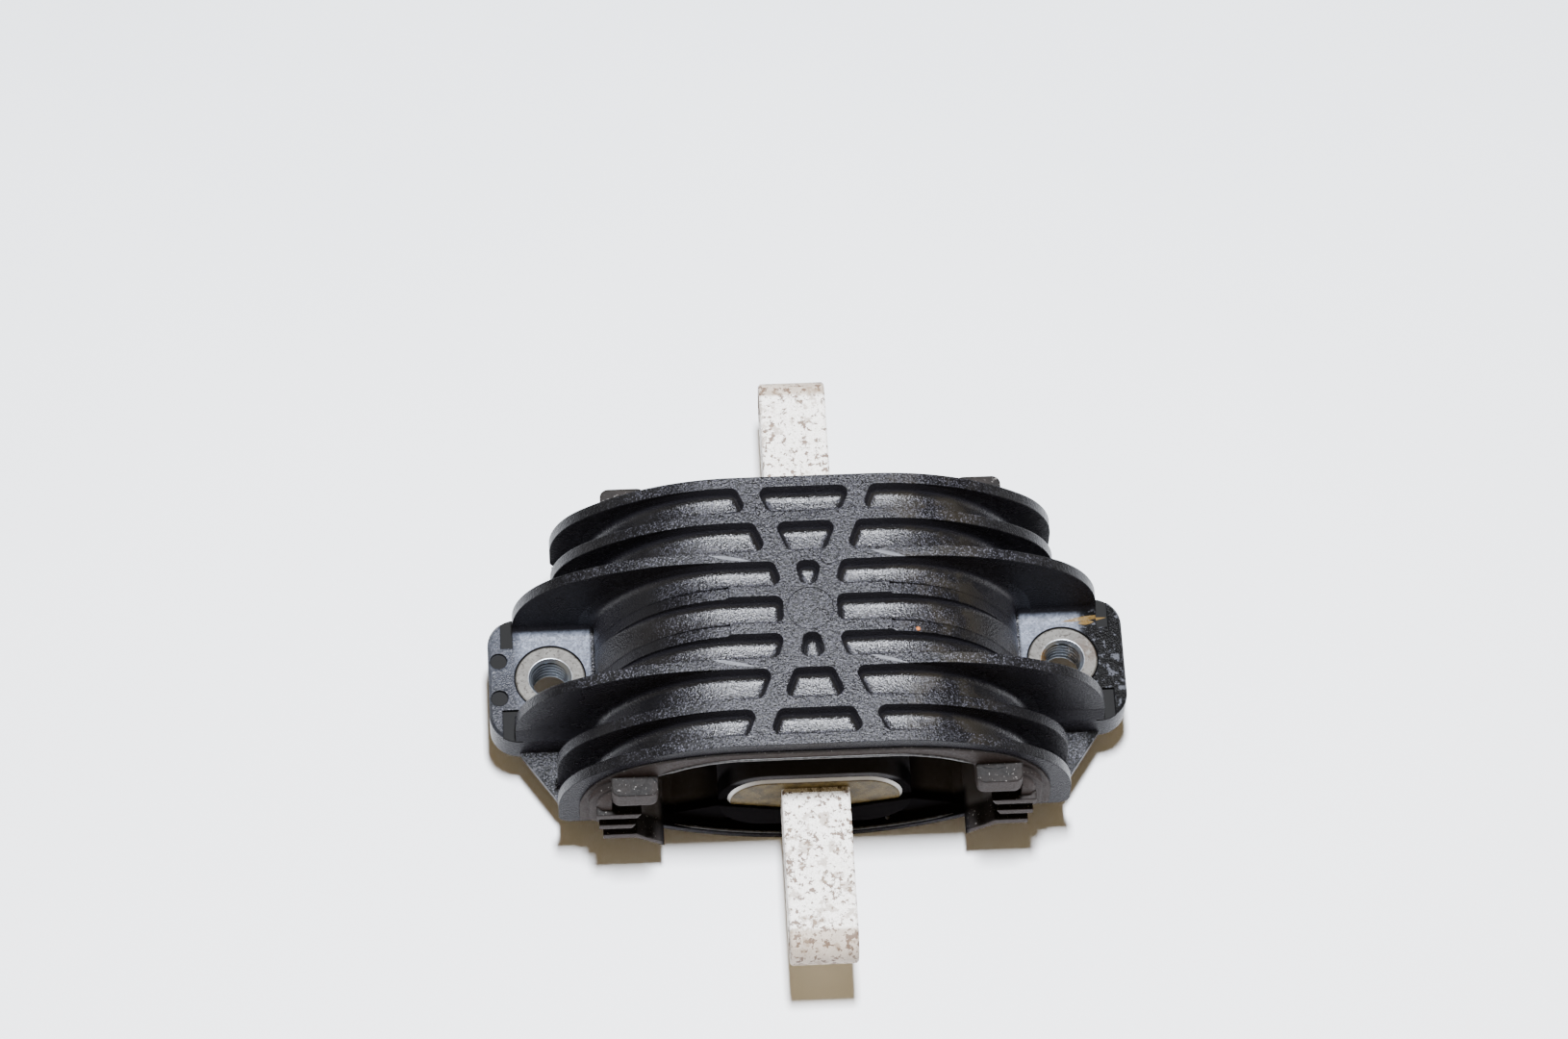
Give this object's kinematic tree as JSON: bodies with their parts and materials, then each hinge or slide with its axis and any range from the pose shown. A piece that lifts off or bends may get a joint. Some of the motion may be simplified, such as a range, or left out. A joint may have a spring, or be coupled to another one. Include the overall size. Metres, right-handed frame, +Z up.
{
  "type": "transmission mount",
  "caption": "Rubber-isolated transmission mount: a finned plastic ring with threaded bolt ears around a rubber body, and an alloy core with a through bar that ends in cross-bored eyes.",
  "frame": {"origin": "midway between the two ear bolts, on the flat underside of the ears", "axes": "+X across the ears, +Y along the bar, +Z up from the ears' underside towards the ribbed crown"},
  "size_m": [0.1836, 0.1852, 0.0618],
  "materials": {
    "housing_plastic": "glass-filled black plastic, grainy satin",
    "bush_steel": "plated steel with a rough pressed face",
    "rubber": "matt black rubber with a brown bloom",
    "core_alloy": "stained cast alloy with a bright rim",
    "bar_alloy": "rough grit-blasted alloy with brown specks"
  },
  "bodies": {
    "root": {"housing": "housing_plastic", "bush_left": "bush_steel", "bush_right": "bush_steel", "rubber_body": "rubber", "core_sleeve": "core_alloy", "core_bar": "bar_alloy"}
  },
  "joints": []
}
